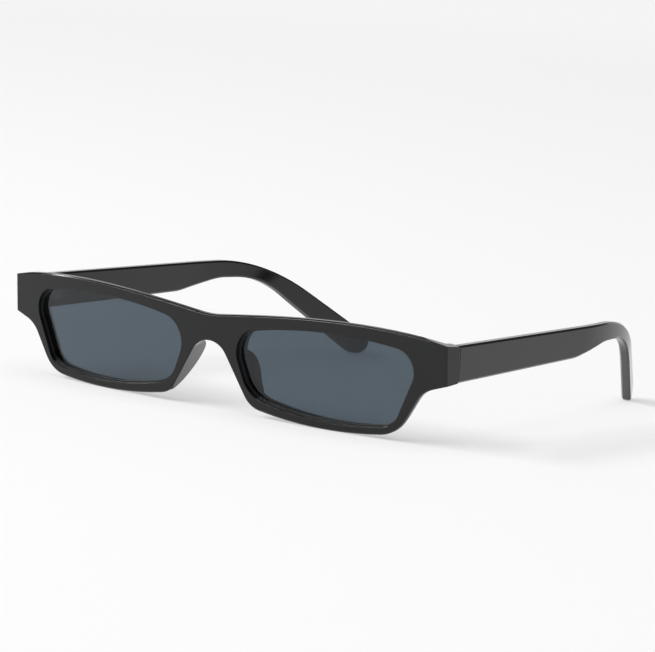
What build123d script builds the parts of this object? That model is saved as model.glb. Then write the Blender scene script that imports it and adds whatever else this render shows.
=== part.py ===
from build123d import *
from math import acos, atan2, cos, hypot, radians, sin, sqrt, tan
import os

# Narrow rectangle sunglasses, standing with the temples open on a flat surface.
# X runs across the face, and the wearer's left is +X. Y runs back along the temples, Z is up.
# The origin lies on that surface, under the middle of the whole object.
# Sizes are millimetres and degrees.

# Lenses and bridge, the way an optician gives them
lens_width = 55.2
lens_height = 23.4
bridge_width = 16.6
lens_thickness = 1.4
lens_inset = 1.7
lens_clearance = 0.05

# Front: its wrap, its lean and how deep its section is
front_wrap_radius = 466.0
front_lean = 6.0
front_depth = 5.3
front_edge_bevel = 0.35
back_bevel_width = 1.4
back_bevel_depth = 3.8

# Front outline, as heights and widths in its own plane
lower_rim_width = 1.9
brow_width = 3.0
bridge_dip = 3.2
bridge_dip_radius = 30.0
end_drop = 2.25
end_width = 8.5
end_height = 10.5
end_length = 5.9
end_top_cut = 0.25
notch_height = 18.2
notch_top_width = 7.1
rim_foot_radius = 125.0
rim_nose_corner_radius = 7.0
rim_side_corner_radius = 9.0
end_sweep_radius = 8.0

# Lens opening: a step inside the front face, then the groove that holds the lens
opening_radii = [7.0, 6.0, 6.0, 9.0]
opening_step_depth = 1.2
opening_step_width = 0.5
opening_back_lip = 0.25
groove_height = 0.8

# Nose pads, moulded in one with the front: both walls of the notch spread towards the back
pad_splay = 10.5
pad_thickness = 1.3
pad_reach = 3.6
pad_root_depth = 1.2
pad_low = 3.2
pad_belly = 7.4
pad_peak = 12.2
pad_high = 17.0
pad_belly_share = 0.82

# Temples
temple_thickness = 2.7
temple_depth = 9.5
temple_straight = 88.7
temple_rise = 1.2
temple_neck_depth = 5.1
temple_edge_bevel = 0.5
seam_gap = 0.25
hook_reach = 28.0
hook_lead = 0.5
hook_bend_radius = 48.0
hook_throat_radius = 25.0
tip_radius = 3.2
step_start = 57.4
step_length = 16.0
step_rise = 3.3
step_radius = 22.0
toe_in = 2.8
hook_toe_in = 28.6
bow_start = 61.2
bow_radius = 93.0

# Hinges: three barrels on one screw
barrel_radius = 1.4
barrel_height = 2.0
barrel_gap = 0.1
barrel_clearance = 0.3
hinge_setback = 1.0
screw_radius = 0.65
screw_clearance = 0.05
screw_head_radius = 1.15
screw_head_height = 0.6
screw_slot_width = 0.3
screw_slot_depth = 0.3
leaf_thickness = 0.9
leaf_proud = 0.1
front_leaf_width = 3.4
front_leaf_edge = 0.5
front_anchor_width = 1.8
front_anchor_depth = 2.2
neck_width = 1.8
temple_leaf_length = 7.5
temple_leaf_height = 5.0
temple_anchor_length = 3.6
temple_anchor_depth = 1.1
leaf_corner_radius = 0.5
seat_clearance = 0.02

# How far cuts run past the material
overrun = 20.0
cut_lead = 5.0

# Outline points as shares of the lens size, from its nose side edge and its lower edge
opening_nose_top_share = (-0.03, 0.832)
opening_top_share = (0.538, 1.0)
opening_side_top_share = (1.033, 0.877)
opening_side_low_share = (0.884, 0.061)
opening_low_share = (0.592, 0.0)
opening_nose_low_share = (0.083, 0.158)
rim_nose_corner_share = 0.089
rim_lowest_share = 0.547
rim_side_corner_share = 0.897
rim_flank_share = (1.027, 0.489)
brow_high_share = 0.538
brow_rise_shares = (0.474, 0.61)
notch_arch_share = 0.98

# What follows from the sizes
opening_edge = bridge_width / 2
half_width = opening_edge + lens_width + end_width
brow_height = lower_rim_width + lens_height + brow_width
bridge_top = brow_height - bridge_dip
end_top = brow_height - end_drop
end_low = end_top - end_height
brow_high = opening_edge + lens_width * brow_high_share
lens_back = lens_inset + lens_thickness
barrel_stack = 3 * barrel_height + 2 * barrel_gap


def wrap(x):
    """How far the front's face lies back at a distance x from the middle."""
    return front_wrap_radius - sqrt(front_wrap_radius**2 - x**2)


def opening_point(share):
    """A point of the lens outline from its share of the lens size."""
    across = opening_edge + lens_width * share[0]
    up = lower_rim_width + lens_height * share[1]
    return (across, up)


def rim_foot(across_share):
    """A point on the long arc under the rim, whose lowest point is at height zero."""
    across = opening_edge + lens_width * across_share
    from_lowest = lens_width * (across_share - rim_lowest_share)
    up = rim_foot_radius - sqrt(rim_foot_radius**2 - from_lowest**2)
    return (across, up)


# The seam between end piece and temple stands upright behind the outer top corner of the front
lean_sine = sin(radians(front_lean))
lean_cosine = cos(radians(front_lean))
corner_behind_foot = wrap(half_width) * lean_cosine - end_top * lean_sine
seam_behind_foot = corner_behind_foot + end_length
foot_behind_front = bridge_top * lean_sine
overall_length = foot_behind_front + seam_behind_foot + temple_straight + hook_reach + tip_radius
foot_y = foot_behind_front - overall_length / 2
foot_z = -wrap(opening_edge + lens_width * rim_lowest_share) * lean_sine
seam_y = foot_y + seam_behind_foot


def behind_seam(distance):
    """The Y of a place that lies behind the seam by this distance."""
    return seam_y + distance


def front_y(x, up, depth):
    """The Y of a place in the front, from its distance across, its height and its depth."""
    return foot_y - up * lean_sine + (wrap(x) + depth) * lean_cosine


def front_depth_of(place):
    """How deep a place lies behind the front's bowed face."""
    back = (place.Y - foot_y) * lean_cosine + (place.Z - foot_z) * lean_sine
    return back - wrap(place.X)


def front_z(x, up, depth):
    """The Z of a place in the front, from its distance across, its height and its depth."""
    return foot_z + up * lean_cosine + (wrap(x) + depth) * lean_sine


end_low_depth = (seam_behind_foot + end_low * lean_sine) / lean_cosine - wrap(half_width)
temple_low = front_z(half_width, end_low, end_low_depth)
temple_top = temple_low + temple_depth
hinge_x = half_width - temple_thickness - barrel_clearance - barrel_radius
hinge_y = behind_seam(hinge_setback)
hinge_z = temple_low + temple_depth / 2
hinge_low = hinge_z - barrel_stack / 2

# The front's own planes: its face, and the plan across it
face_plane = Plane(origin=(0, foot_y, foot_z), x_dir=(1, 0, 0), z_dir=(0, -lean_cosine, -lean_sine))
plan_plane = Plane(origin=(0, foot_y, foot_z), x_dir=(1, 0, 0), z_dir=(0, -lean_sine, lean_cosine))


def wrap_band(front, back):
    """Sketch the bowed band between two depths behind the face, seen from above."""
    reach = half_width + front_depth
    outer = front_wrap_radius - front
    inner = front_wrap_radius - back
    outer_end = front_wrap_radius - sqrt(outer**2 - reach**2)
    inner_end = front_wrap_radius - sqrt(inner**2 - reach**2)
    with BuildSketch(plan_plane) as band:
        with BuildLine():
            ThreePointArc((-reach, outer_end), (0, front), (reach, outer_end))
            Line((reach, outer_end), (reach, inner_end))
            ThreePointArc((reach, inner_end), (0, back), (-reach, inner_end))
            Line((-reach, inner_end), (-reach, outer_end))
        make_face()
    return band.sketch


def wrapped(outline, front, back):
    """Give an outline in the face plane its thickness, bowed like the front."""
    with BuildPart() as piece:
        extrude(outline, amount=front_depth + overrun, both=True)
        extrude(wrap_band(front, back), amount=brow_height + overrun, both=True, mode=Mode.INTERSECT)
    return piece.part


def lens_outline(growth):
    """The lens opening's outline on the wearer's left, grown by this much all round."""
    nose_top = opening_point(opening_nose_top_share)
    side_top = opening_point(opening_side_top_share)
    side_low = opening_point(opening_side_low_share)
    nose_low = opening_point(opening_nose_low_share)
    corners = [nose_top, side_top, side_low, nose_low]
    with BuildSketch(face_plane) as outline:
        with BuildLine():
            ThreePointArc(nose_top, opening_point(opening_top_share), side_top)
            Line(side_top, side_low)
            ThreePointArc(side_low, opening_point(opening_low_share), nose_low)
            Line(nose_low, nose_top)
        make_face()
        for corner, radius in zip(corners, opening_radii):
            fillet(outline.vertices().sort_by_distance(corner)[0], radius=radius)
        if growth:
            offset(amount=growth)
    return outline.sketch


def both_sides(part):
    """The part on the wearer's left together with its mirror image."""
    with BuildPart() as pair:
        add(part)
        mirror(about=Plane.YZ)
    return pair.part


# The outline of the front: its half on the wearer's left is drawn, then mirrored
nose_corner = rim_foot(rim_nose_corner_share)
side_corner = rim_foot(rim_side_corner_share)
flank = opening_point(rim_flank_share)
notch_corner = (notch_top_width / 2, notch_height)
notch_turn = atan2(notch_corner[1] - nose_corner[1], nose_corner[0] - notch_corner[0])
notch_arch_radius = notch_arch_share * notch_corner[0] / tan(notch_turn / 2)
brow_rise = brow_height - bridge_top
brow_shoulder = (brow_high * brow_rise_shares[0], bridge_top + brow_rise * brow_rise_shares[1])

with BuildSketch(face_plane) as front_outline:
    with BuildLine():
        Spline((0, bridge_top), brow_shoulder, (brow_high, brow_height), (half_width, end_top))
        Line((half_width, end_top), (half_width, end_low))
        Line((half_width, end_low), flank)
        Line(flank, side_corner)
        ThreePointArc(side_corner, rim_foot(rim_lowest_share), nose_corner)
        Line(nose_corner, notch_corner)
        Line(notch_corner, (0, notch_height))
        Line((0, notch_height), (0, bridge_top))
    make_face()
    fillet(front_outline.vertices().sort_by_distance(flank)[0], radius=end_sweep_radius)
    fillet(front_outline.vertices().sort_by_distance(side_corner)[0], radius=rim_side_corner_radius)
    fillet(front_outline.vertices().sort_by_distance(nose_corner)[0], radius=rim_nose_corner_radius)
    fillet(front_outline.vertices().sort_by_distance(notch_corner)[0], radius=notch_arch_radius)
    mirror(about=Plane.YZ)
    fillet(front_outline.vertices().sort_by_distance((0, bridge_top))[0], radius=bridge_dip_radius)

# The end pieces run straight back from the bowed face at the ends of the front to the seams
with BuildPart() as end_pieces:
    add(wrapped(front_outline.sketch, 0, front_depth + end_length))
    corner_y = front_y(half_width, end_top, 0)
    lug_middle = half_width - temple_thickness / 2
    lug_front = corner_y - end_length
    with BuildSketch(Plane.XY.offset(-overrun)):
        with Locations((-lug_middle, (lug_front + seam_y) / 2), (lug_middle, (lug_front + seam_y) / 2)):
            Rectangle(temple_thickness, seam_y - lug_front)
    extrude(amount=brow_height + 2 * overrun, mode=Mode.INTERSECT)

# The notch over the nose, as a cutter whose walls spread towards the back
notch_run = (nose_corner[0] - notch_corner[0]) / (notch_corner[1] - nose_corner[1])
notch_foot = (notch_corner[0] + (notch_corner[1] + overrun) * notch_run, -overrun)


def notch_body(growth, depth):
    """The room over the nose, grown by this much at the face and spreading towards the back."""
    with BuildPart() as body:
        with BuildSketch(face_plane) as outline:
            with BuildLine():
                Polyline((0, notch_corner[1]), notch_corner, notch_foot, (0, notch_foot[1]), (0, notch_corner[1]))
            make_face()
            fillet(outline.vertices().sort_by_distance(notch_corner)[0], radius=notch_arch_radius)
            mirror(about=Plane.YZ)
            if growth:
                offset(amount=growth)
        extrude(amount=-depth, taper=-pad_splay)
    return body.part


# Each nose pad is a fin behind the notch's wall, deepest above its middle
pad_depth = front_depth + pad_reach
side_plane = Plane(origin=(0, foot_y, foot_z), x_dir=(0, lean_cosine, lean_sine), z_dir=(1, 0, 0))

with BuildPart() as nose_pads:
    add(notch_body(pad_thickness, pad_depth + overrun))
    with BuildSketch(side_plane):
        with BuildLine():
            pad_back = Spline(
                (pad_root_depth, pad_low),
                (pad_depth * pad_belly_share, pad_belly),
                (pad_depth, pad_peak),
                (pad_root_depth, pad_high),
            )
            Line(pad_back @ 1, pad_back @ 0)
        make_face()
    extrude(amount=opening_edge + lens_width, both=True, mode=Mode.INTERSECT)

# Each opening is stepped inside the face, and has a groove for its lens with a thin lip behind it
groove_growth = groove_height - opening_step_width
opening_face = lens_outline(0)
opening_through = lens_outline(-opening_step_width)
opening_back = lens_outline(groove_growth - opening_back_lip)
groove_outline = lens_outline(groove_growth)

# A slanting cut lowers the top of each end piece from the corner of the front to the seam
cut_corner = Vector(half_width, corner_y, front_z(half_width, end_top, 0) - end_top_cut)
cut_back = Vector(half_width, seam_y, temple_top - seam_gap)
cut_inner_up = end_top + brow_rise * (1 - brow_rise_shares[1])
cut_inner_x = half_width - end_width - temple_thickness
cut_inner_y = front_y(cut_inner_x, cut_inner_up, front_depth)
cut_inner_z = front_z(cut_inner_x, cut_inner_up, front_depth)
cut_inner = Vector(cut_inner_x, cut_inner_y, cut_inner_z)
cut_normal = (cut_back - cut_corner).cross(cut_inner - cut_corner).normalized()
end_cut = Plane(origin=cut_corner, z_dir=cut_normal)
end_cut_mirrored = Plane(
    origin=Vector(-cut_corner.X, cut_corner.Y, cut_corner.Z),
    z_dir=Vector(-cut_normal.X, cut_normal.Y, cut_normal.Z),
)

# Hinge leaves: the front one is let into the back of the front, beside the end piece
front_leaf_middle_x = hinge_x - front_leaf_edge
front_leaf_up = (hinge_z - foot_z - wrap(front_leaf_middle_x) * lean_sine) / lean_cosine
front_leaf_back = front_y(front_leaf_middle_x, front_leaf_up, front_depth) + leaf_proud
front_leaf_front = front_leaf_back - leaf_thickness


def front_leaf_body(growth, opened=0):
    """The front leaf's plate and anchor, grown by a clearance and opened towards the back."""
    with BuildPart() as body:
        with BuildSketch(Plane.XZ.offset(growth - front_leaf_front)):
            with Locations((front_leaf_middle_x, hinge_z)):
                RectangleRounded(front_leaf_width + 2 * growth, barrel_stack + 2 * growth, leaf_corner_radius)
        extrude(amount=-(leaf_thickness + growth + opened))
        with BuildSketch(Plane.XZ.offset(-front_leaf_front)):
            with Locations((front_leaf_middle_x, hinge_z)):
                Rectangle(front_anchor_width + 2 * growth, barrel_stack / 2 + 2 * growth)
        extrude(amount=front_anchor_depth + growth)
    return body.part


# The back edges of the front are bevelled, before the end pieces and the pads join it
with BuildPart() as bevelled_front:
    add(wrapped(front_outline.sketch, 0, front_depth))
    back_face = bevelled_front.faces().filter_by(
        lambda face: all(front_depth_of(corner.center()) > front_depth / 2 for corner in face.vertices())
    )[0]
    chamfer(back_face.edges(), length=back_bevel_width, length2=back_bevel_depth, reference=back_face)

with BuildPart() as frame_front:
    add(bevelled_front.part)
    add(end_pieces.part)
    add(nose_pads.part)
    split(bisect_by=Plane.XZ.offset(-seam_y), keep=Keep.TOP)
    split(bisect_by=end_cut, keep=Keep.BOTTOM)
    split(bisect_by=end_cut_mirrored, keep=Keep.BOTTOM)
    # A narrow bevel breaks the sharp edge all round the face
    face_edges = frame_front.edges().filter_by(
        lambda edge: all(
            abs(front_depth_of(edge.position_at(t))) < seat_clearance for t in (0.0, 0.5, 1.0)
        )
    )
    chamfer(face_edges, length=front_edge_bevel)
    add(notch_body(0, pad_depth + overrun), mode=Mode.SUBTRACT)
    add(both_sides(wrapped(opening_face, -cut_lead, opening_step_depth)), mode=Mode.SUBTRACT)
    add(both_sides(wrapped(groove_outline, lens_inset, lens_back)), mode=Mode.SUBTRACT)
    add(both_sides(wrapped(opening_through, -cut_lead, lens_back)), mode=Mode.SUBTRACT)
    add(both_sides(wrapped(opening_back, lens_inset, front_depth + cut_lead)), mode=Mode.SUBTRACT)
    add(both_sides(front_leaf_body(seat_clearance, end_length)), mode=Mode.SUBTRACT)

# The lenses fill their grooves, less a clearance all round
with BuildPart() as lens_left:
    lens_edge = lens_outline(groove_growth - lens_clearance)
    add(wrapped(lens_edge, lens_inset + lens_clearance, lens_back - lens_clearance))

# The front half of each hinge: its leaf, anchor, and two barrels on necks
hinge_axis = Plane(origin=(hinge_x, hinge_y, hinge_low))
barrel_pitch = barrel_height + barrel_gap

with BuildPart() as front_hinge_left:
    add(front_leaf_body(0))
    for barrel_low in (0, 2 * barrel_pitch):
        with BuildSketch(hinge_axis.offset(barrel_low)):
            Circle(barrel_radius)
            with Locations((0, (front_leaf_front - hinge_y) / 2)):
                Rectangle(neck_width, hinge_y - front_leaf_front)
        extrude(amount=barrel_height)
    with BuildSketch(hinge_axis):
        Circle(screw_radius + screw_clearance)
    extrude(amount=barrel_stack, mode=Mode.SUBTRACT)

# The temple half: one barrel between them, on a leaf let into the temple's inner face
toe_plane = Plane(origin=(hinge_x, hinge_y, hinge_z), x_dir=(cos(radians(toe_in)), sin(radians(toe_in)), 0))
temple_outer = (half_width - hinge_x) * cos(radians(toe_in)) - hinge_setback * sin(radians(toe_in))
temple_inner = temple_outer - temple_thickness
temple_leaf_start = barrel_radius + barrel_clearance


def temple_leaf_body(growth, opened=0):
    """The temple leaf's plate, anchor and knuckle, grown by a clearance and opened inwards."""
    leaf_middle = (temple_leaf_start + temple_leaf_length / 2, 0)
    leaf_inner = temple_inner - leaf_proud - opened
    inner_origin = toe_plane.from_local_coords(Vector(leaf_inner, 0, 0))
    leaf_plane = Plane(origin=inner_origin, x_dir=toe_plane.y_dir, z_dir=toe_plane.x_dir)
    plate_depth = leaf_thickness + opened + growth
    knuckle_length = temple_leaf_start + barrel_radius
    with BuildPart() as body:
        with BuildSketch(leaf_plane):
            with Locations(leaf_middle):
                RectangleRounded(
                    temple_leaf_length + 2 * growth, temple_leaf_height + 2 * growth, leaf_corner_radius
                )
        extrude(amount=plate_depth)
        with BuildSketch(leaf_plane):
            with Locations(leaf_middle):
                Rectangle(temple_anchor_length + 2 * growth, temple_leaf_height / 2 + 2 * growth)
        extrude(amount=plate_depth + temple_anchor_depth)
        with BuildSketch(toe_plane.offset(-(barrel_height / 2 + growth))):
            with Locations(((temple_inner - leaf_proud + leaf_thickness) / 2, knuckle_length / 2)):
                Rectangle(temple_inner - leaf_proud + leaf_thickness + 2 * growth, knuckle_length)
        extrude(amount=barrel_height + 2 * growth)
    return body.part


with BuildPart() as temple_hinge_left:
    add(temple_leaf_body(0))
    with BuildSketch(toe_plane.offset(-barrel_height / 2)):
        Circle(barrel_radius)
    extrude(amount=barrel_height)
    with BuildSketch(toe_plane.offset(-barrel_height / 2)):
        Circle(screw_radius + screw_clearance)
    extrude(amount=barrel_height, mode=Mode.SUBTRACT)

# The screw: a slotted head on top of the upper barrel
with BuildPart() as hinge_screw_left:
    with BuildSketch(hinge_axis):
        Circle(screw_radius)
    extrude(amount=barrel_stack)
    with BuildSketch(hinge_axis.offset(barrel_stack)):
        Circle(screw_head_radius)
    extrude(amount=screw_head_height)
    with BuildSketch(hinge_axis.offset(barrel_stack + screw_head_height)):
        Rectangle(2 * screw_head_radius, screw_slot_width)
    extrude(amount=-screw_slot_depth, mode=Mode.SUBTRACT)

# The temple: its side view, cut out of a band that follows the bow seen from above
bend_y = behind_seam(temple_straight)
bend_top = (bend_y, temple_top + temple_rise)
tip_centre = (bend_y + hook_reach, tip_radius)
throat = (bend_y - hook_lead, bend_top[1] - temple_neck_depth)
step_low = (behind_seam(step_start), throat[1] - step_rise)
step_high = (behind_seam(step_start + step_length), throat[1])


def tip_tangent(start, side):
    """Where a line from a start point touches the tip's round end, over it or under it."""
    back = start[0] - tip_centre[0]
    up = start[1] - tip_centre[1]
    angle = atan2(up, back) + side * acos(tip_radius / hypot(back, up))
    return (tip_centre[0] + tip_radius * cos(angle), tip_centre[1] + tip_radius * sin(angle))


def temple_edge_path(start, radius):
    """One long edge of the temple seen from above: straight, bowed inwards, and straight again."""
    straight = PolarLine(start, bow_start + cut_lead, angle=90 + toe_in)
    bow = JernArc(start=straight @ 1, tangent=straight % 1, radius=radius, arc_size=hook_toe_in - toe_in)
    end = PolarLine(bow @ 1, temple_straight + hook_reach, angle=90 + hook_toe_in)
    return (straight @ 0, end @ 1)


with BuildPart() as temple_left:
    with BuildSketch(Plane.YZ) as side_view:
        with BuildLine():
            start_y = behind_seam(seam_gap)
            tip_over = tip_tangent(bend_top, -1)
            tip_under = tip_tangent(throat, 1)
            tip_end = (tip_centre[0] + tip_radius, tip_centre[1])
            Line((start_y, temple_top), bend_top)
            Line(bend_top, tip_over)
            ThreePointArc(tip_over, tip_end, tip_under)
            Line(tip_under, throat)
            Line(throat, step_high)
            Line(step_high, step_low)
            Line(step_low, (start_y, temple_low))
            Line((start_y, temple_low), (start_y, temple_top))
        make_face()
        corners = [bend_top, throat, step_high, step_low]
        radii = [hook_bend_radius, hook_throat_radius, step_radius, step_radius]
        for corner, radius in zip(corners, radii):
            fillet(side_view.vertices().sort_by_distance(corner)[0], radius=radius)
    extrude(amount=half_width + overrun)
    with BuildSketch(Plane.XY.offset(-overrun)):
        with BuildLine():
            lead = (cut_lead * sin(radians(toe_in)), cut_lead * cos(radians(toe_in)))
            outer_start = (half_width + lead[0], seam_y - lead[1])
            across = (-temple_thickness * cos(radians(toe_in)), -temple_thickness * sin(radians(toe_in)))
            inner_start = (outer_start[0] + across[0], outer_start[1] + across[1])
            outer_ends = temple_edge_path(outer_start, bow_radius)
            inner_ends = temple_edge_path(inner_start, bow_radius - temple_thickness)
            Line(outer_ends[0], inner_ends[0])
            Line(outer_ends[1], inner_ends[1])
        make_face()
    extrude(amount=temple_top + 2 * overrun, mode=Mode.INTERSECT)
    # A narrow bevel runs along all four long edges and round the tip
    long_edges = temple_left.edges().filter_by(Axis.X, reverse=True).filter_by(Axis.Z, reverse=True)
    chamfer(long_edges, length=temple_edge_bevel)
    add(temple_leaf_body(seat_clearance, temple_thickness), mode=Mode.SUBTRACT)

os.makedirs("parts", exist_ok=True)
on_the_left = {
    "temple_left": temple_left,
    "lens_left": lens_left,
    "front_hinge_left": front_hinge_left,
    "temple_hinge_left": temple_hinge_left,
    "hinge_screw_left": hinge_screw_left,
}
frame_front.part.label = "frame_front"
export_step(frame_front.part, "parts/frame_front.step")
for name, piece in on_the_left.items():
    piece.part.label = name
    export_step(piece.part, f"parts/{name}.step")
    with BuildPart() as twin:
        add(piece.part)
        mirror(about=Plane.YZ, mode=Mode.REPLACE)
    twin.part.label = name.replace("left", "right")
    export_step(twin.part, f"parts/{twin.part.label}.step")
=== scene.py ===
"""Narrow rectangle sunglasses: looks, hinge screws, floor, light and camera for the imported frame."""
import math

import bmesh
import bpy
from bpy.props import FloatProperty, FloatVectorProperty, IntProperty, PointerProperty
from mathutils import Euler, Matrix, Vector


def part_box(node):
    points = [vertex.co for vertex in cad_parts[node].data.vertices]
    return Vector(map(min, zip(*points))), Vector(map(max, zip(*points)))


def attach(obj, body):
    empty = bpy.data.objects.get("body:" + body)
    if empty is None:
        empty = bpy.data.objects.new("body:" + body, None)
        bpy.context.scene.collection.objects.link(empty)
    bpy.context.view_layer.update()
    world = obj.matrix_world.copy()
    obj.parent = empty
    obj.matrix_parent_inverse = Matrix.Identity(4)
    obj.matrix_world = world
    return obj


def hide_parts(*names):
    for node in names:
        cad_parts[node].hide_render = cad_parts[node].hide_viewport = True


bl_info = {
    "name": "Narrow rectangle sunglasses",
    "version": (1, 0, 0),
    "blender": (4, 5, 0),
    "location": "3D View > Sidebar > Sunglasses",
    "description": "Dresses the sunglasses: moulded plastic, tinted lenses, metal hinges, screws and stage",
    "category": "Object",
}

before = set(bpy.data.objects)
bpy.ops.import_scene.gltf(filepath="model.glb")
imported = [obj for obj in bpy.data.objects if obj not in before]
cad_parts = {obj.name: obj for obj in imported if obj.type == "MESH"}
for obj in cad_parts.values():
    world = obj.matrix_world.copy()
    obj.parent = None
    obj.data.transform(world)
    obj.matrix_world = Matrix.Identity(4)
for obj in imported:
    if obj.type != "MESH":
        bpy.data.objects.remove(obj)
bpy.context.view_layer.update()

MM = 0.001
SIDES = ("left", "right")


def linear(hex_colour):
    """Turn an sRGB hex colour into linear red, green and blue."""
    channels = []
    for start in (1, 3, 5):
        value = int(hex_colour[start:start + 2], 16) / 255
        if value <= 0.04045:
            channels.append(value / 12.92)
        else:
            channels.append(((value + 0.055) / 1.055) ** 2.4)
    return tuple(channels)


def opaque(colour, share=1.0):
    """A linear colour, or a darker share of it, with full opacity, as colour sockets want it."""
    return (*[part * share for part in colour], 1.0)


def node(tree, kind, settings=None, inputs=None, links=None):
    """Add a node with its settings, its fixed inputs and the links into it."""
    made = tree.nodes.new(kind)
    for name, value in (settings or {}).items():
        setattr(made, name, value)
    for name, value in (inputs or {}).items():
        made.inputs[name].default_value = value
    for name, source in (links or {}).items():
        tree.links.new(source, made.inputs[name])
    return made


def new_material(name):
    """An empty node material, and its tree."""
    material = bpy.data.materials.new(name)
    material.use_nodes = True
    tree = material.node_tree
    tree.nodes.clear()
    return material, tree


def show(tree, shader):
    """Send a shader to the surface output."""
    node(tree, "ShaderNodeOutputMaterial", links={"Surface": shader.outputs[0]})


def dress(names, material):
    """Give the named CAD nodes one material."""
    for name in names:
        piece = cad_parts[name]
        piece.data.materials.clear()
        piece.data.materials.append(material)


def add_piece(name, mesh, material, body, replaced):
    """Put up a mesh as a piece that stands for a CAD node and rides on its body."""
    piece = bpy.data.objects.new(name, mesh)
    bpy.context.scene.collection.objects.link(piece)
    mesh.materials.append(material)
    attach(piece, body)
    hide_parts(replaced)


class PlasticSettings(bpy.types.PropertyGroup):
    """Front and temples: polished injection-moulded plastic."""

    colour: FloatVectorProperty(
        name="Plastic colour", description="Body colour of the moulded plastic", subtype="COLOR",
        size=3, min=0.0, max=1.0, default=linear("#0A0B0B"),
    )
    pale_colour: FloatVectorProperty(
        name="Paler colour", description="Colour where the pigment is thinner", subtype="COLOR",
        size=3, min=0.0, max=1.0, default=linear("#0E0F0F"),
    )
    roughness: FloatProperty(
        name="Roughness", description="Roughness of the polished skin", default=0.1, min=0.0, max=1.0,
        subtype="FACTOR",
    )
    front_index: FloatProperty(
        name="Front index", description="Refractive index of the front's skin", default=1.41, min=1.0,
    )
    temple_index: FloatProperty(
        name="Temple index", description="Refractive index of the temples' skin", default=1.5, min=1.0,
    )
    waviness_mm: FloatProperty(
        name="Waviness", description="Width of the soft waves that moulding leaves, in millimetres",
        default=9.0, min=1.0,
    )
    haze_mm: FloatProperty(
        name="Haze", description="Width of the fine marks that polishing leaves, in millimetres",
        default=0.35, min=0.05,
    )
    edge_round_mm: FloatProperty(
        name="Edge polish", description="Radius that tumbling leaves on sharp edges, in millimetres",
        default=0.25, min=0.0,
    )


class LensSettings(bpy.types.PropertyGroup):
    """Lenses: smoke-tinted polycarbonate."""

    tint: FloatVectorProperty(
        name="Lens tint", description="Colour of white light after it has passed the lens", subtype="COLOR",
        size=3, min=0.0, max=1.0, default=linear("#4B5862"),
    )
    roughness: FloatProperty(
        name="Roughness", description="Roughness of the hard coat", default=0.01, min=0.0, max=1.0,
        subtype="FACTOR",
    )
    index: FloatProperty(
        name="Coat index", description="Refractive index of the hard coat", default=1.43, min=1.0,
    )
    waviness_mm: FloatProperty(
        name="Waviness", description="Width of the waves that moulding leaves, in millimetres",
        default=14.0, min=1.0,
    )


class HingeSettings(bpy.types.PropertyGroup):
    """Hinges and screws: nickel silver and stainless steel."""

    nickel_silver: FloatVectorProperty(
        name="Nickel silver", description="Colour of the hinge metal", subtype="COLOR",
        size=3, min=0.0, max=1.0, default=linear("#8A857B"),
    )
    hinge_roughness: FloatProperty(
        name="Hinge roughness", description="Roughness of the hinge metal", default=0.38, min=0.0, max=1.0,
        subtype="FACTOR",
    )
    hinge_line_mm: FloatProperty(
        name="Hinge lines", description="Spacing of the rolled lines, in millimetres", default=0.4, min=0.05,
    )
    steel: FloatVectorProperty(
        name="Stainless steel", description="Colour of the screw metal", subtype="COLOR",
        size=3, min=0.0, max=1.0, default=linear("#B9B9B8"),
    )
    screw_roughness: FloatProperty(
        name="Screw roughness", description="Roughness of the screw metal", default=0.22, min=0.0, max=1.0,
        subtype="FACTOR",
    )
    screw_line_mm: FloatProperty(
        name="Screw lines", description="Spacing of the turned lines, in millimetres", default=0.3, min=0.05,
    )
    thread_pitch_mm: FloatProperty(
        name="Thread pitch", description="Pitch of the screw's thread, in millimetres", default=0.3, min=0.1,
    )
    thread_depth_mm: FloatProperty(
        name="Thread depth", description="Depth of the screw's thread, in millimetres",
        default=0.1, min=0.02,
    )
    steps: IntProperty(name="Steps", description="Steps round the screw", default=40, min=12)


class StageSettings(bpy.types.PropertyGroup):
    """Floor, light and camera."""

    floor: FloatVectorProperty(
        name="Floor", description="Colour of the floor", subtype="COLOR", size=3, min=0.0, max=1.0,
        default=linear("#F6F6F6"),
    )
    glow: FloatProperty(
        name="Floor glow",
        description="Share of the floor near the object that is plain white and takes no shadow",
        default=0.5, min=0.0, max=1.0, subtype="FACTOR",
    )
    white: FloatProperty(
        name="White level", description="Brightness of that plain white", default=0.985, min=0.0, max=1.0,
    )
    horizon: FloatProperty(
        name="Horizon", description="Brightness of the light from the sides", default=0.9, min=0.0,
    )
    dim: FloatProperty(
        name="Dim ring", description="Brightness of the ring between sides and canopy",
        default=0.12, min=0.0,
    )
    canopy: FloatProperty(
        name="Canopy", description="Brightness of the round soft light overhead", default=1.4, min=0.0,
    )
    key_watts: FloatProperty(
        name="Key light", description="Power of the soft box in front", default=88.0, min=0.0,
        subtype="POWER",
    )
    key_size_m: FloatVectorProperty(
        name="Key light size", description="Length and height of the soft box, in metres", size=2, min=0.01,
        unit="LENGTH", default=(3.2, 0.4),
    )
    key_place_m: FloatVectorProperty(
        name="Key light place", description="Where the soft box hangs, in metres", size=3,
        unit="LENGTH", default=(-1.65, -1.65, 1.85),
    )
    azimuth: FloatProperty(
        name="Azimuth", description="Where the camera stands round the object", subtype="ANGLE",
        default=math.radians(37.123),
    )
    elevation: FloatProperty(
        name="Elevation", description="How high the camera stands", subtype="ANGLE",
        default=math.radians(7.360),
    )
    roll: FloatProperty(
        name="Roll", description="How far the camera is turned about its own axis", subtype="ANGLE",
        default=math.radians(4.148),
    )
    focal_mm: FloatProperty(
        name="Focal length", description="Focal length, in millimetres", default=204.15, min=1.0,
    )
    shift: FloatProperty(
        name="Shift", description="Sideways shift of the picture, as a share of its width", default=0.0014,
    )
    place_mm: FloatVectorProperty(
        name="Camera place", description="Where the camera stands, in millimetres", size=3,
        default=(597.756, -804.560, 146.750),
    )


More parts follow.
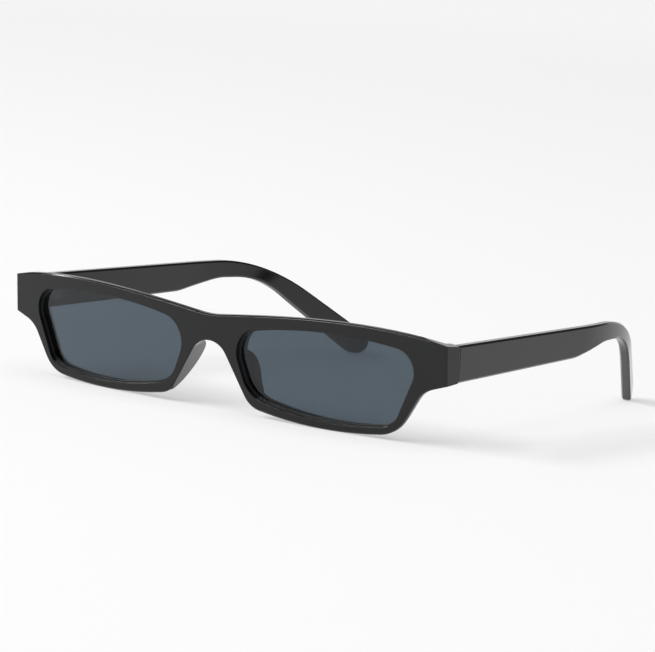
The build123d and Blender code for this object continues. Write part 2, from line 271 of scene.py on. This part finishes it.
class SUNGLASSES_OT_front(bpy.types.Operator):
    """Dress the front and both temples in polished moulded plastic"""

    bl_idname = "sunglasses.front"
    bl_label = "Front and temples"

    def execute(self, context):
        settings = context.scene.sunglasses_plastic
        front = polished_nylon("polished_front_nylon", settings, settings.front_index)
        temple = polished_nylon("polished_temple_nylon", settings, settings.temple_index)
        dress(["frame_front"], front)
        dress(["temple_left", "temple_right"], temple)
        return {"FINISHED"}


def polished_nylon(name, settings, index):
    """Black nylon, injection-moulded and tumbled to a gloss: deep black with a clear, faintly wavy shine.

    Nylon's own index is about 1.53. Both skins have a lower one, matched to how the real ones mirror.
    """
    wave_height = 0.02 * MM
    haze_height = 0.002 * MM
    material, tree = new_material(name)
    place = node(tree, "ShaderNodeTexCoord")
    spot = place.outputs["Object"]
    # Soft waves of the moulded skin bend reflections a little
    waves = node(
        tree, "ShaderNodeTexNoise",
        inputs={"Scale": 1 / (settings.waviness_mm * MM), "Detail": 1.0, "Roughness": 0.4},
        links={"Vector": spot},
    )
    # Polishing marks are finer than 0.1 mm, and are drawn as coarse as they need to show
    haze = node(
        tree, "ShaderNodeTexNoise",
        inputs={"Scale": 1 / (settings.haze_mm * MM), "Detail": 3.0, "Roughness": 0.6},
        links={"Vector": spot},
    )
    # Most of the noise lies between 0.3 and 0.7, and moves the roughness by about a fifth each way
    rough = node(
        tree, "ShaderNodeMapRange",
        inputs={
            "From Min": 0.3, "From Max": 0.7,
            "To Min": settings.roughness * 0.8, "To Max": settings.roughness * 1.25,
        },
        links={"Value": haze.outputs["Fac"]},
    )
    # The pigment isn't quite even
    tone = node(
        tree, "ShaderNodeMix", settings={"data_type": "RGBA"},
        inputs={6: opaque(settings.colour), 7: opaque(settings.pale_colour)},
        links={0: waves.outputs["Fac"]},
    )
    edge = node(
        tree, "ShaderNodeBevel", settings={"samples": 8},
        inputs={"Radius": settings.edge_round_mm * MM},
    )
    skin = node(
        tree, "ShaderNodeBump", inputs={"Strength": 0.12, "Distance": wave_height},
        links={"Height": waves.outputs["Fac"], "Normal": edge.outputs["Normal"]},
    )
    grain = node(
        tree, "ShaderNodeBump", inputs={"Strength": 0.05, "Distance": haze_height},
        links={"Height": haze.outputs["Fac"], "Normal": skin.outputs["Normal"]},
    )
    shader = node(
        tree, "ShaderNodeBsdfPrincipled", inputs={"IOR": index},
        links={
            "Base Color": tone.outputs[2],
            "Roughness": rough.outputs["Result"],
            "Normal": grain.outputs["Normal"],
        },
    )
    show(tree, shader)
    return material


class SUNGLASSES_OT_lenses(bpy.types.Operator):
    """Dress both lenses in smoke-tinted polycarbonate"""

    bl_idname = "sunglasses.lenses"
    bl_label = "Lenses"

    def execute(self, context):
        settings = context.scene.sunglasses_lenses
        dress(["lens_left", "lens_right"], tinted_polycarbonate("smoke_polycarbonate", settings))
        return {"FINISHED"}


def tinted_polycarbonate(name, settings):
    """Polycarbonate dyed in the melt: an even smoke tint.

    Its smooth hard coat has a lower index than the 1.58 of bare polycarbonate, so it mirrors little.
    """
    darkest_tint = 0.94
    wave_height = 0.01 * MM
    material, tree = new_material(name)
    place = node(tree, "ShaderNodeTexCoord")
    # Moulding leaves wide waves in the surface and in the tint
    waves = node(
        tree, "ShaderNodeTexNoise", inputs={"Scale": 1 / (settings.waviness_mm * MM), "Detail": 0.0},
        links={"Vector": place.outputs["Object"]},
    )
    tint = node(
        tree, "ShaderNodeMix", settings={"data_type": "RGBA"},
        inputs={6: opaque(settings.tint), 7: opaque(settings.tint, darkest_tint)},
        links={0: waves.outputs["Fac"]},
    )
    skin = node(
        tree, "ShaderNodeBump", inputs={"Strength": 0.05, "Distance": wave_height},
        links={"Height": waves.outputs["Fac"]},
    )
    shader = node(
        tree, "ShaderNodeBsdfPrincipled",
        inputs={"IOR": settings.index, "Transmission Weight": 1.0, "Roughness": settings.roughness},
        links={"Base Color": tint.outputs[2], "Normal": skin.outputs["Normal"]},
    )
    show(tree, shader)
    return material


class SUNGLASSES_OT_hinges(bpy.types.Operator):
    """Dress the hinge halves in nickel silver"""

    bl_idname = "sunglasses.hinges"
    bl_label = "Hinges"

    def execute(self, context):
        settings = context.scene.sunglasses_hinges
        material = lined_metal(
            "dull_nickel_silver", settings.nickel_silver, settings.hinge_roughness, settings.hinge_line_mm,
        )
        dress([f"{half}_hinge_{side}" for half in ("front", "temple") for side in SIDES], material)
        return {"FINISHED"}


def lined_metal(name, colour, roughness, line_mm):
    """Small rolled or turned metal parts: fine lines blur the shine across them."""
    darkest_tone = 0.85
    line_height = 0.01 * MM
    # A wave texture of scale 1 has 20 / (2 pi) bands to the unit
    bands_per_scale = 20 / (2 * math.pi)
    material, tree = new_material(name)
    place = node(tree, "ShaderNodeTexCoord")
    # Real tool marks are some 0.02 mm apart, and are drawn coarser so that they show
    lines = node(
        tree, "ShaderNodeTexWave", settings={"wave_type": "BANDS", "bands_direction": "Z"},
        inputs={"Scale": 1 / (bands_per_scale * line_mm * MM), "Distortion": 2.0, "Detail": 2.0},
        links={"Vector": place.outputs["Object"]},
    )
    rough = node(
        tree, "ShaderNodeMapRange", inputs={"To Min": roughness * 0.8, "To Max": roughness * 1.2},
        links={"Value": lines.outputs["Fac"]},
    )
    tone = node(
        tree, "ShaderNodeMix", settings={"data_type": "RGBA"},
        inputs={6: opaque(colour), 7: opaque(colour, darkest_tone)},
        links={0: lines.outputs["Fac"]},
    )
    skin = node(
        tree, "ShaderNodeBump", inputs={"Strength": 0.1, "Distance": line_height},
        links={"Height": lines.outputs["Fac"]},
    )
    shader = node(
        tree, "ShaderNodeBsdfPrincipled", inputs={"Metallic": 1.0},
        links={
            "Base Color": tone.outputs[2],
            "Roughness": rough.outputs["Result"],
            "Normal": skin.outputs["Normal"],
        },
    )
    show(tree, shader)
    return material


class SUNGLASSES_OT_screws(bpy.types.Operator):
    """Model the two slotted hinge screws with their threads"""

    bl_idname = "sunglasses.screws"
    bl_label = "Hinge screws"

    def execute(self, context):
        settings = context.scene.sunglasses_hinges
        material = lined_metal(
            "turned_stainless_steel", settings.steel, settings.screw_roughness, settings.screw_line_mm,
        )
        for side in SIDES:
            cad_screw = f"hinge_screw_{side}"
            name = f"threaded_screw_{side}"
            mesh = screw_mesh(name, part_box(cad_screw), settings)
            add_piece(name, mesh, material, "front", cad_screw)
        return {"FINISHED"}


def screw_ring(built, middle, height, radii):
    """One ring of points round a screw's axis, with a radius for each point."""
    ring = []
    for step, radius in enumerate(radii):
        angle = 2 * math.pi * step / len(radii)
        place = (middle.x + radius * math.cos(angle), middle.y + radius * math.sin(angle), height)
        ring.append(built.verts.new(place))
    return ring


def screw_mesh(name, corners, settings):
    """A slotted cheese-head screw that fills a CAD screw's box: head, shank and a helical thread."""
    low, high = corners
    middle = (low + high) / 2
    steps = settings.steps
    pitch = settings.thread_pitch_mm * MM
    depth = settings.thread_depth_mm * MM
    head_radius = (high.x - low.x) / 2
    head_height = 0.6 * MM
    shank_radius = 0.65 * MM
    plain_length = 2.2 * MM
    slot_width = 0.3 * MM
    slot_depth = 0.3 * MM
    dome = 0.12 * MM
    lower_bevel = 0.05 * MM
    upper_bevel = 0.08 * MM
    bevelled_radius = head_radius * 0.97
    dome_radius = head_radius * 0.6
    flat_radius = slot_width * 0.9
    # The tip's radius is this share of the shank's, and grows to the full one over two turns of thread
    tip_share = 0.8
    taper_length = 2 * pitch
    rows_per_turn = 6
    shoulder = high.z - head_height
    upper_head = shoulder + head_height * 0.4
    length = shoulder - low.z
    rows = int(length / pitch * rows_per_turn)
    built = bmesh.new()
    grid = []
    # The shank is a stack of level rings: the thread's crest moves round from each ring to the next
    for row in range(rows + 1):
        up = length * row / rows
        threaded = up < length - plain_length
        taper = tip_share + (1 - tip_share) * min(1.0, up / taper_length)
        radii = []
        for step in range(steps):
            phase = (up / pitch - step / steps) % 1.0
            cut = depth * abs(2 * phase - 1) if threaded else 0.0
            radii.append((shank_radius - cut) * taper)
        grid.append(screw_ring(built, middle, low.z + up, radii))
    # The head: under the rim, up its side, over a bevelled edge and a low dome
    head = [
        (bevelled_radius, shoulder),
        (head_radius, shoulder + lower_bevel),
        (head_radius, high.z - dome - upper_bevel),
        (bevelled_radius, high.z - dome),
        (dome_radius, high.z - dome * 0.3),
        (flat_radius, high.z),
    ]
    for radius, height in head:
        grid.append(screw_ring(built, middle, height, [radius] * steps))
    for lower, upper in zip(grid[:-1], grid[1:]):
        for step in range(steps):
            after = (step + 1) % steps
            built.faces.new((lower[step], lower[after], upper[after], upper[step]))
    built.faces.new(reversed(grid[0]))
    built.faces.new(grid[-1])
    # The slot is pressed in by lowering the top's points that lie over it
    for vertex in built.verts:
        if vertex.co.z > upper_head and abs(vertex.co.y - middle.y) < slot_width / 2:
            vertex.co.z = min(vertex.co.z, high.z - slot_depth)
    bmesh.ops.recalc_face_normals(built, faces=built.faces)
    mesh = bpy.data.meshes.new(name)
    built.to_mesh(mesh)
    built.free()
    mesh.shade_smooth()
    mesh.set_sharp_from_angle(angle=math.radians(40))
    return mesh


class SUNGLASSES_OT_stage(bpy.types.Operator):
    """Lay the floor, and set the light and the camera"""

    bl_idname = "sunglasses.stage"
    bl_label = "Stage"

    def execute(self, context):
        settings = context.scene.sunglasses_stage
        lay_floor(context.scene, settings)
        light_sky(context.scene, settings)
        hang_key_light(context.scene, settings)
        set_camera(context.scene, settings)
        context.scene.view_settings.view_transform = "Standard"
        return {"FINISHED"}


def lay_floor(scene, settings):
    """A plain square floor of matt white paper."""
    reach = 6.0
    mesh = bpy.data.meshes.new("paper_floor")
    corners = [(-reach, -reach, 0), (reach, -reach, 0), (reach, reach, 0), (-reach, reach, 0)]
    mesh.from_pydata(corners, [], [(0, 1, 2, 3)])
    mesh.materials.append(matt_paper("matt_paper", settings))
    floor = bpy.data.objects.new("paper_floor", mesh)
    scene.collection.objects.link(floor)


def matt_paper(name, settings):
    """Uncoated white paper: even and matt, with a faint mottle of fibres."""
    fibre_width = 3 * MM
    fibre_height = 0.05 * MM
    darkest_fibre = 0.985
    fade_start = 0.4
    fade_end = 2.4
    material, tree = new_material(name)
    place = node(tree, "ShaderNodeTexCoord")
    # Single fibres are too fine to show, so their clumps are drawn
    fibres = node(
        tree, "ShaderNodeTexNoise", inputs={"Scale": 1 / fibre_width, "Detail": 3.0},
        links={"Vector": place.outputs["Object"]},
    )
    tone = node(
        tree, "ShaderNodeMix", settings={"data_type": "RGBA"},
        inputs={6: opaque(settings.floor), 7: opaque(settings.floor, darkest_fibre)},
        links={0: fibres.outputs["Fac"]},
    )
    skin = node(
        tree, "ShaderNodeBump", inputs={"Strength": 0.05, "Distance": fibre_height},
        links={"Height": fibres.outputs["Fac"]},
    )
    shader = node(
        tree, "ShaderNodeBsdfPrincipled", inputs={"Roughness": 0.9, "Specular IOR Level": 0.1},
        links={"Base Color": tone.outputs[2], "Normal": skin.outputs["Normal"]},
    )
    # To the camera, and in reflections and through the lenses, part of the paper is plain white
    white = node(
        tree, "ShaderNodeEmission", inputs={"Color": opaque(settings.floor), "Strength": settings.white},
    )
    ray = node(tree, "ShaderNodeLightPath")
    seen = ray.outputs["Is Camera Ray"]
    for kind in ("Is Glossy Ray", "Is Transmission Ray"):
        either = node(
            tree, "ShaderNodeMath", settings={"operation": "MAXIMUM"}, links={0: seen, 1: ray.outputs[kind]},
        )
        seen = either.outputs[0]
    # Far from the object it is all white, as in a cove without a corner
    away = node(
        tree, "ShaderNodeVectorMath", settings={"operation": "LENGTH"}, links={0: place.outputs["Object"]},
    )
    fade = node(
        tree, "ShaderNodeMapRange",
        inputs={"From Min": fade_start, "From Max": fade_end, "To Min": settings.glow, "To Max": 1.0},
        links={"Value": away.outputs["Value"]},
    )
    share = node(
        tree, "ShaderNodeMath", settings={"operation": "MULTIPLY"},
        links={0: seen, 1: fade.outputs["Result"]},
    )
    blend = node(
        tree, "ShaderNodeMixShader",
        links={0: share.outputs[0], 1: shader.outputs[0], 2: white.outputs[0]},
    )
    show(tree, blend)
    return material


def light_sky(scene, settings):
    """Soft light: pale sides up to 20 degrees, a dim ring from 27 to 53, and a round canopy above 64."""
    # Each height is the sine of an elevation, and each level a share of the canopy's brightness
    side_top, ring_start, ring_end, canopy_start = 0.34, 0.45, 0.8, 0.9
    side = settings.horizon / settings.canopy
    ring = settings.dim / settings.canopy
    stops = (
        (0.0, side), (side_top, side), (ring_start, ring), (ring_end, ring), (canopy_start, 1.0), (1.0, 1.0),
    )
    world = bpy.data.worlds.new("studio_light")
    scene.world = world
    world.use_nodes = True
    tree = world.node_tree
    tree.nodes.clear()
    place = node(tree, "ShaderNodeTexCoord")
    parts = node(tree, "ShaderNodeSeparateXYZ", links={"Vector": place.outputs["Generated"]})
    level = node(tree, "ShaderNodeValToRGB", links={"Fac": parts.outputs["Z"]})
    ramp = level.color_ramp
    while len(ramp.elements) < len(stops):
        ramp.elements.new(0.5)
    for element, (height, brightness) in zip(ramp.elements, stops):
        element.position = height
        element.color = (brightness, brightness, brightness, 1.0)
    sky = node(
        tree, "ShaderNodeBackground", inputs={"Strength": settings.canopy},
        links={"Color": level.outputs["Color"]},
    )
    node(tree, "ShaderNodeOutputWorld", links={"Surface": sky.outputs[0]})


def hang_key_light(scene, settings):
    """A long soft box in front on the wearer's right.

    It draws the thin bright lines on the brow's top edge and on the openings' lower steps.
    """
    lamp = bpy.data.lights.new("key_light", "AREA")
    lamp.shape = "RECTANGLE"
    lamp.size, lamp.size_y = settings.key_size_m
    lamp.energy = settings.key_watts
    holder = bpy.data.objects.new("key_light", lamp)
    holder.location = settings.key_place_m
    holder.rotation_euler = (-holder.location).to_track_quat("-Z", "Y").to_euler()
    scene.collection.objects.link(holder)


def set_camera(scene, settings):
    """A long lens at the photograph's viewing angle."""
    eye = bpy.data.cameras.new("view")
    eye.sensor_width = 36.0
    eye.lens = settings.focal_mm
    eye.shift_x = settings.shift
    eye.clip_end = 20.0
    holder = bpy.data.objects.new("view", eye)
    turn = Euler((math.pi / 2 - settings.elevation, 0, settings.azimuth)).to_matrix()
    turn = turn @ Matrix.Rotation(settings.roll, 3, "Z")
    holder.matrix_world = Matrix.Translation(Vector(settings.place_mm) * MM) @ turn.to_4x4()
    scene.collection.objects.link(holder)
    scene.camera = holder


class SUNGLASSES_PT_panel(bpy.types.Panel):
    """Every step, in order, and the settings"""

    bl_label = "Sunglasses"
    bl_space_type = "VIEW_3D"
    bl_region_type = "UI"
    bl_category = "Sunglasses"

    def draw(self, context):
        for step in STEPS:
            self.layout.operator(step.bl_idname)
        for group in GROUPS:
            settings = getattr(context.scene, group)
            for name in settings.bl_rna.properties.keys():
                if name not in ("rna_type", "name"):
                    self.layout.prop(settings, name)


STEPS = (
    SUNGLASSES_OT_front,
    SUNGLASSES_OT_lenses,
    SUNGLASSES_OT_hinges,
    SUNGLASSES_OT_screws,
    SUNGLASSES_OT_stage,
)
GROUPS = {
    "sunglasses_plastic": PlasticSettings,
    "sunglasses_lenses": LensSettings,
    "sunglasses_hinges": HingeSettings,
    "sunglasses_stage": StageSettings,
}


def register():
    """Make the classes and the scene's settings known."""
    for group in GROUPS.values():
        bpy.utils.register_class(group)
    for name, group in GROUPS.items():
        setattr(bpy.types.Scene, name, PointerProperty(type=group))
    for step in STEPS:
        bpy.utils.register_class(step)
    bpy.utils.register_class(SUNGLASSES_PT_panel)


def unregister():
    """Undo register."""
    bpy.utils.unregister_class(SUNGLASSES_PT_panel)
    for step in reversed(STEPS):
        bpy.utils.unregister_class(step)
    for name, group in GROUPS.items():
        delattr(bpy.types.Scene, name)
        bpy.utils.unregister_class(group)


def main():
    """Make everything, in order."""
    register()
    bpy.ops.sunglasses.front()
    bpy.ops.sunglasses.lenses()
    bpy.ops.sunglasses.hinges()
    bpy.ops.sunglasses.screws()
    bpy.ops.sunglasses.stage()


if __name__ == "__main__":
    main()
